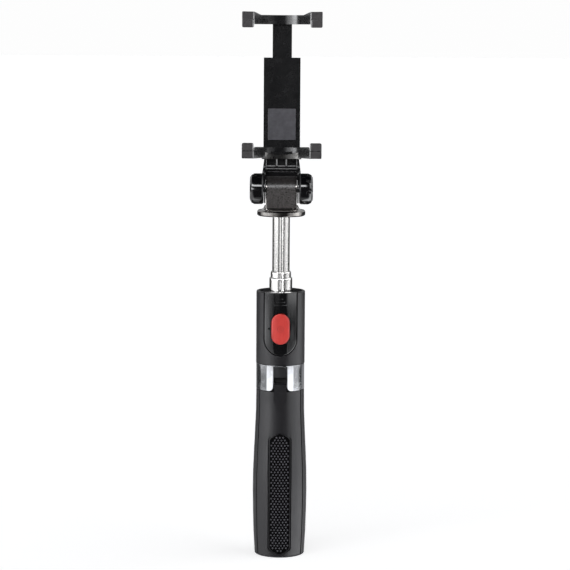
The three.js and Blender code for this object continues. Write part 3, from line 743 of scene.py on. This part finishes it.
# ---------------------------------------------------------------- housing and remote
CHANNEL = 9.55  # half the width of the remote's channel
CHANNEL_FOOT = 112
HOUSING_TOP = 152.4
OUTER_SKIN = 13.5  # radius beyond which an edge is on the outside of the housing or the remote
REMOTE_FACE = 13.8  # radius of the remote's front
BUTTON_SKIN = 13.7  # radius beyond which an edge is on the button's front
BUTTON_FACE = 14.2
BUTTON_MIDDLE = (0.0, 132.3)
BUTTON_HOLE = {"half": 5.6, "low": 123, "high": 141.7}
STATUS_LIGHT = (-6.35, 132.3)
REMOTE_RIDGES = ((149.6, 1.1), (147.8, 2.3), (146.1, 3.4))  # height and half the width
RIDGE_STEPS = 6


def on_remote(x, z):
    """Just under the skin of the remote's front, as a place."""
    return (x, -math.sqrt((REMOTE_FACE - 0.08) ** 2 - x * x), z)


def on_button(x, z):
    """Just under the skin of the button's front, as a depth."""
    return -math.sqrt(BUTTON_FACE ** 2 - x * x) + 0.02


def build_housing():
    def channel(x, y, z):
        on_front = math.hypot(x, y) > OUTER_SKIN and y < -5
        return on_front and CHANNEL_FOOT < z < HOUSING_TOP and abs(x) < CHANNEL + 0.2

    def rim(x, y, z):
        return z > HOUSING_TOP - 0.1 and math.hypot(x, y) > OUTER_SKIN - 0.5

    refined("upper_housing", bevel=0.15, sharp=40, rules=((channel, 0.7, 4), (rim, 0.3, 2)))


def build_remote():
    def shell(x, y, z):
        """The front's outer edge, without those round the button and the status light."""
        by_button = abs(x) < BUTTON_HOLE["half"] and BUTTON_HOLE["low"] < z < BUTTON_HOLE["high"]
        by_light = math.hypot(x - STATUS_LIGHT[0], z - STATUS_LIGHT[1]) <= 1
        return math.hypot(x, y) > OUTER_SKIN and not by_button and not by_light

    def cap(x, y, z):
        return math.hypot(x, y) > BUTTON_SKIN

    refined("remote_front_shell", bevel=0.1, sharp=40, rules=((shell, 0.5, 3),))
    ridges = []
    for z, half in REMOTE_RIDGES:
        for i in range(RIDGE_STEPS):
            x0, x1 = -half + 2 * half * i / RIDGE_STEPS, -half + 2 * half * (i + 1) / RIDGE_STEPS
            ridges.append(bar(on_remote(x0, z), on_remote(x1, z), 0.26))
    extra("remote_grip_ridges", *gathered(ridges), "remote", "gloss_black", MATERIALS["gloss_black"])

    refined("shutter_button", bevel=0.1, sharp=40, rules=((cap, 0.6, 4),))
    rings = [hoop(BUTTON_MIDDLE, 1.7, 0.12, 48, on_button), hoop(BUTTON_MIDDLE, 0.6, 0.1, 24, on_button)]
    extra("button_mark", *gathered(rings), "button", "red_plastic", BUTTON_MARK)


# ---------------------------------------------------------------- head
BLOCK_SIDE = 8.75
FLANGE_TOP = 201.5
KNOB_TURN = 12  # degrees that the knob's notches sit round from the CAD's, about its own axis
TILT_Z = 211  # height of the tilt axis
INNER_FACE = 10.6  # how far out, at most, the edges by the block are on the knob and the cap
HIDDEN_FLANK = 12.0  # how far out they are in matt plastic instead of gloss black


def build_head():
    def block_edge(x, y, z):
        return abs(abs(x) - BLOCK_SIDE) < 0.1 and z > FLANGE_TOP

    def inner_edge(x, y, z):
        return abs(x) < INNER_FACE

    def hidden_flank(x, y, z):
        return abs(x) < HIDDEN_FLANK

    def turned(x, y, z):
        a = math.radians(KNOB_TURN)
        up = z - TILT_Z
        return x, y * math.cos(a) + up * math.sin(a), TILT_Z + up * math.cos(a) - y * math.sin(a)

    refined("tilt_block", bevel=0.2, sharp=32, rules=((block_edge, 0.9, 5),), material=POLISHED_GREY)
    refined("block_cover", bevel=0.18, sharp=40)
    for node, move in (("tilt_knob", turned), ("tilt_cap", None)):
        refined(
            node, bevel=0.3, segments=3, sharp=30, rules=((inner_edge, 0.12, 2),), move=move,
            paint=((hidden_flank, MATERIALS["dark_plastic"]),),
        )


# ---------------------------------------------------------------- clamp
LOWER_SPLIT = 232.1  # heights of the lines between the finger pads and the jaws
UPPER_SPLIT = 306.5
FINGER = 16.0  # inner side of the fingers
HIGHLIGHT_LINE_WIDTH = 0.75  # of the painted highlight line along a finger's inner side
FINGER_FRONT = 3.8
FINGER_BACK = 18.3
FINGER_FOOT = 227.8
NECK_RIDGES = (  # both ends, radius, and how far it is pressed in
    ((-7.9, 14.15, 223.1), (-3.7, 14.15, 223.1), 0.3, 1.0),
    ((-1.9, 14.15, 223.1), (1.9, 14.15, 223.1), 0.3, 1.0),
    ((3.7, 14.15, 223.1), (7.9, 14.15, 223.1), 0.3, 1.0),
    ((-8.9, 13.0, 221.6), (8.9, 13.0, 221.6), 0.2, 1.0),
    ((-8.6, 10.9, 219.9), (8.6, 10.9, 219.9), 0.16, 1.0),
    ((-2.74, 14.15, 223.4), (-2.74, 14.15, 227.6), 0.42, 0.5),
    ((2.74, 14.15, 223.4), (2.74, 14.15, 227.6), 0.42, 0.5),
    ((-8.75, 13.9, 222.3), (-8.75, 14.2, 227.0), 0.16, 1.0),
    ((8.75, 13.9, 222.3), (8.75, 14.2, 227.0), 0.16, 1.0),
)


def outboard(x, y):
    return abs(x) > FINGER - 0.05 and y < FINGER_BACK


def in_finger(x, y, z):
    return outboard(x, y) and (FINGER_FOOT < z < LOWER_SPLIT + 0.25 or z > UPPER_SPLIT - 0.25)


def finger_edge(x, y, z):
    return in_finger(x, y, z) and not LOWER_SPLIT - 0.1 < z < UPPER_SPLIT + 0.1


def inner_highlight_line(x, y, z):
    """The front of the edge along a finger's inner side, where a highlight line is painted."""
    return FINGER - 0.05 < abs(x) < FINGER + HIGHLIGHT_LINE_WIDTH and y < FINGER_FRONT


def finger_highlight_line(x, y, z):
    return in_finger(x, y, z) and inner_highlight_line(x, y, z)


def split_edge(x, y, z):
    return LOWER_SPLIT - 0.1 < z < LOWER_SPLIT + 0.4 or UPPER_SPLIT - 0.4 < z < UPPER_SPLIT + 0.1


def pad_edge(x, y, z):
    return not split_edge(x, y, z)


def finger_split(x, y, z):
    return outboard(x, y) and split_edge(x, y, z)


def groove(x, y, z):
    """The rounded edges on both sides of the line between a finger pad and the jaw below it, painted near
    black as painted shade in that groove.
    """
    return finger_split(x, y, z) and not (abs(z - LOWER_SPLIT) < 0.01 or abs(z - UPPER_SPLIT) < 0.01)


def pad_reach(x, y, z):
    """Brings a finger pad down, or up, on to the jaw that it is moulded on."""
    for place, nearer in ((LOWER_SPLIT + 0.3, LOWER_SPLIT + 0.02), (UPPER_SPLIT - 0.3, UPPER_SPLIT - 0.02)):
        if abs(z - place) < 0.05:
            z = nearer
    return x, y, z


def build_clamp():
    for node in ("clamp_frame", "upper_jaw_slider"):
        refined(
            node, bevel=0.25, segments=3, sharp=32, rules=((finger_edge, 1.0, 4), (finger_split, 0.3, 2)),
            # the fingers take rubber, their inner edges a painted highlight line, and the groove at the pads
            # painted shade
            paint=((in_finger, FINGER_RUBBER), (finger_highlight_line, PAINTED_EDGE_HIGHLIGHT), (groove, SATIN_BLACK)),
            material=SATIN_BLACK,
        )
    for node in ("lower_pad_left", "lower_pad_right", "upper_pad_left", "upper_pad_right"):
        refined(
            node, bevel=0.3, sharp=32, rules=((pad_edge, 1.0, 4),), move=pad_reach,
            # the inner edges take a painted highlight line, and the groove at the jaw painted shade
            paint=((inner_highlight_line, PAINTED_EDGE_HIGHLIGHT), (groove, SATIN_BLACK)), material=FINGER_RUBBER,
        )
    ridges = [bar(*ridge) for ridge in NECK_RIDGES]
    # the neck's ridges are painted light grey as painted highlights
    extra("neck_ridges", *gathered(ridges), "clamp", "dark_plastic", PAINTED_EDGE_HIGHLIGHT)


def build_jaw_plate():
    """The satin plate on the front of the lower jaw, hollowed from side to side like its upper edge."""
    half, low, dip, rise = 11.3, 227.2, 229.8, 2.0
    radius, foremost, thick = 22.1, 12.85, 0.35
    chamfer, chamfer_depth, tucked = 0.2, 0.14, 0.25
    columns = 24
    points = []
    for i in range(columns + 1):
        x = -half + 2 * half * i / columns
        high = dip + rise * (x / half) ** 2
        front = foremost - radius + math.sqrt(radius ** 2 - x * x)
        if i in (0, columns):
            front += tucked
        points += [
            (x, front, low + chamfer), (x, front, high - chamfer), (x, front + chamfer_depth, high),
            (x, front + thick, high), (x, front + thick, low), (x, front + chamfer_depth, low),
        ]
    extra("lower_jaw_plate", points, capped_faces(points, 6), "clamp", "dark_plastic", SATIN_GREY)


def build_springs():
    """Close-wound wire springs inside the rail, on both sides of the sliding blade."""
    middle, depth = 7.05, 16.65
    low, high = 254.3, 282.7
    wire, coil, turns, steps, wire_sides = 0.16, 0.62, 26, 14, 6
    count = turns * steps
    for side, across in (("left", -1), ("right", 1)):
        points = []
        for i in range(count + 1):
            a = i / steps * math.tau
            z = low + wire + (high - low - 2 * wire) * i / count
            for b in full_turn(wire_sides):
                r = coil + wire * math.cos(b)
                x, y = across * middle + r * math.cos(a), depth + r * math.sin(a)
                points.append((x, y, z + wire * math.sin(b)))
        faces = capped_faces(points, wire_sides)
        piece = replacement(f"clamp_spring_{side}_coil", points, faces, f"clamp_spring_{side}")
        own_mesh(piece)


# ---------------------------------------------------------------- studio
FLOOR_HALF = 30  # metres
FLOOR_GLOW = 0.66
CAMERA = {"place": (2.4, -1190, 297), "down": 6.76, "roll": 0.36, "lens": 132.4, "sensor": 36}
STUDIO_TINT = (0.97, 0.98, 1.0, 1)
BACKDROP_LEVEL = 0.985

# The studio's light is painted on its sphere. A card is its side, its first and last angle from the
# front in degrees, its level, and the softness of its far and its near edge. A ring is a level of
# darkness and the cards in it, and the numbers after them are its lowest and highest height on the
# sphere, the softness of those edges and its level. A shelf takes the place of AROUND and BEHIND
# between two heights: its bottom, top, darkness and cards.
AROUND = (0.04, (("left", 42, 118, 0.9, 8, 16), ("right", 42, 118, 3.0, 8, 16)), -1.2, 0.6, 0.12, 1.0)
BEHIND = (0.0, (("left", 118, 178, 0.6, 8, 8), ("right", 118, 178, 0.6, 8, 8)), -0.32, 0.6, 0.1, 1.0)
LAMP = (0.0, (("left", -12, 58, 1.0, 3, 3),), 0.35, 0.54, 0.02, 6.6)
GROUND = (1.0, (), -1.2, -0.9, 0.04, 0.4)
SHELF_SOFTNESS = 0.0012
SHELVES = (
    (-0.172, -0.1535, 0.03, (
        ("right", 35, 67, 1.3, 1.5, 1.5), ("right", 67, 99, 0.36, 3, 1.5), ("right", 99, 106, 0.18, 3, 3),
        ("right", 125, 178, 0.22, 6, 6), ("left", 35, 69, 1.3, 1.5, 1.5), ("left", 69, 96, 0.2, 3, 1.5),
        ("left", 96, 108, 0.18, 3, 3), ("left", 140, 178, 0.06, 6, 6),
    )),
    (-0.1535, -0.1485, 0.01, (
        ("left", 68, 112, 0.45, 8, 24), ("right", 78, 112, 0.3, 8, 24),
    )),
    (-0.1485, -0.123, 0.01, (
        ("left", 58, 112, 1.75, 8, 26), ("right", 78, 112, 0.3, 8, 24),
    )),
    (-0.123, -0.087, 0.05, (
        ("left", 40, 94, 0.56, 6, 14), ("right", 36, 96, 1.9, 6, 10), ("left", 6, 26, 0.2, 6, 6),
    )),
    (-0.087, -0.0812, 0.03, (
        ("left", 34, 70, 0.25, 10, 10), ("left", 80, 98, 2.2, 5, 8), ("right", 46, 72, 0.2, 8, 12),
        ("right", 78, 96, 3.6, 5, 8),
    )),
    (-0.0812, -0.0605, 0.02, (
        ("left", 62, 112, 2.4, 8, 8), ("right", 62, 112, 3.0, 8, 8),
    )),
    (-0.0605, -0.0555, 0.04, (
        ("left", 12, 66, 1.7, 6, 20), ("left", 66, 100, 1.9, 6, 25), ("right", 74, 98, 1.4, 6, 8),
    )),
    (-0.0555, -0.045, 0.04, (
        ("left", 66, 100, 1.9, 6, 25), ("right", 74, 98, 1.4, 6, 8),
    )),
    (-0.045, 0.12, 0.04, (
        ("left", 22, 110, 3.4, 8, 12), ("left", 46, 72, 5.5, 10, 10), ("right", 94, 116, 2.4, 5, 5),
    )),
)


def build_floor():
    """A pale floor that glows enough to merge with the backdrop, and isn't seen in reflections."""
    mesh = bpy.data.meshes.new("studio_floor")
    made = bmesh.new()
    bmesh.ops.create_grid(made, x_segments=1, y_segments=1, size=FLOOR_HALF)
    made.to_mesh(mesh)
    made.free()
    floor = link("studio_floor", mesh)
    finish = Material(
        "studio_floor", Roughness=0.9, Specular_IOR_Level=0.0, Emission_Color=(1, 1, 1, 1),
        Emission_Strength=FLOOR_GLOW,
    )
    finish.tint(finish.noise(3, 2), (0.60, 0.60, 0.60), (0.61, 0.61, 0.61))
    mesh.materials.append(finish.material)
    floor.visible_glossy = False


def build_camera():
    """Stands about 1.2 m in front, just under the clamp's height, looking slightly down."""
    data = bpy.data.cameras.new("camera")
    data.sensor_width = CAMERA["sensor"]
    data.lens = CAMERA["lens"]
    data.clip_start = 0.05
    data.clip_end = 100
    camera = link("camera", data)
    camera.matrix_world = (
        Matrix.Translation([c * MM for c in CAMERA["place"]])
        @ Matrix.Rotation(math.radians(90 - CAMERA["down"]), 4, "X")
        @ Matrix.Rotation(math.radians(CAMERA["roll"]), 4, "Z")
    )
    bpy.context.scene.camera = camera


def between(tree, value, low, high, low_soft, high_soft, level=1.0):
    """A level that holds while a value is between two others, with soft edges, and 0 elsewhere."""
    parts = []
    for edge, soft, before, after in ((low, low_soft, 0.0, level), (high, high_soft, 1.0, 0.0)):
        part = through(
            tree, "ShaderNodeMapRange", value, "Value", "Result",
            From_Min=edge - soft, From_Max=edge + soft, To_Min=before, To_Max=after,
        )
        part.node.interpolation_type = "SMOOTHSTEP"
        parts.append(part)
    return combine(tree, "MULTIPLY", *parts)


def studio_light(tree):
    """The strength of the studio's light in each direction."""
    direction = tree.nodes.new("ShaderNodeTexCoord").outputs["Generated"]
    split = through(tree, "ShaderNodeSeparateXYZ", direction, "Vector", "Z").node
    height = split.outputs["Z"]
    forward = combine(tree, "MULTIPLY", split.outputs["Y"], -1.0)
    right = combine(tree, "ARCTAN2", split.outputs["X"], forward)
    sides = {"right": right, "left": combine(tree, "MULTIPLY", right, -1.0)}

    def ring(dark, cards):
        total = dark
        for side, first, last, level, far_soft, near_soft in cards:
            angles = (math.radians(a) for a in (first, last, near_soft, far_soft))
            total = combine(tree, "ADD", between(tree, sides[side], *angles, level), total)
        return total

    def patch(dark, cards, low, high, soft, level):
        heights = between(tree, height, low, high, soft, soft, level)
        return combine(tree, "MULTIPLY", ring(dark, cards), heights)

    total = combine(tree, "ADD", patch(*BEHIND), patch(*AROUND))
    for low, high, dark, cards in SHELVES:
        mix = tree.nodes.new("ShaderNodeMix")
        shelf = between(tree, height, low, high, SHELF_SOFTNESS, SHELF_SOFTNESS)
        tree.links.new(shelf, mix.inputs["Factor"])
        tree.links.new(total, mix.inputs["A"])
        tree.links.new(ring(dark, cards), mix.inputs["B"])
        total = mix.outputs["Result"]
    for light in (LAMP, GROUND):
        total = combine(tree, "ADD", patch(*light), total)
    return total


def build_light():
    """Soft boxes and cards all round the stick, a lamp over the camera, a pale ground and a backdrop."""
    world = bpy.data.worlds.new("studio")
    bpy.context.scene.world = world
    world.use_nodes = True
    tree = world.node_tree
    tree.nodes.clear()
    studio = through(
        tree, "ShaderNodeBackground", studio_light(tree), "Strength", "Background", Color=STUDIO_TINT,
    )
    backdrop = tree.nodes.new("ShaderNodeBackground")
    socket(backdrop, "Color", (1, 1, 1, 1))
    socket(backdrop, "Strength", BACKDROP_LEVEL)
    path = tree.nodes.new("ShaderNodeLightPath")
    mix = tree.nodes.new("ShaderNodeMixShader")
    tree.links.new(path.outputs["Is Camera Ray"], mix.inputs["Fac"])
    tree.links.new(studio, mix.inputs[1])
    tree.links.new(backdrop.outputs["Background"], mix.inputs[2])
    output = tree.nodes.new("ShaderNodeOutputWorld")
    tree.links.new(mix.outputs["Shader"], output.inputs["Surface"])
    bpy.context.scene.view_settings.view_transform = "Standard"


# ---------------------------------------------------------------- assembly
build_camera()
build_light()
build_floor()
build_rod()
build_pads()
build_legs()
build_collar()
build_housing()
build_remote()
build_head()
build_clamp()
build_jaw_plate()
build_springs()
for name in frame["nodes"]:
    if name not in REPLACED:
        refined(name)
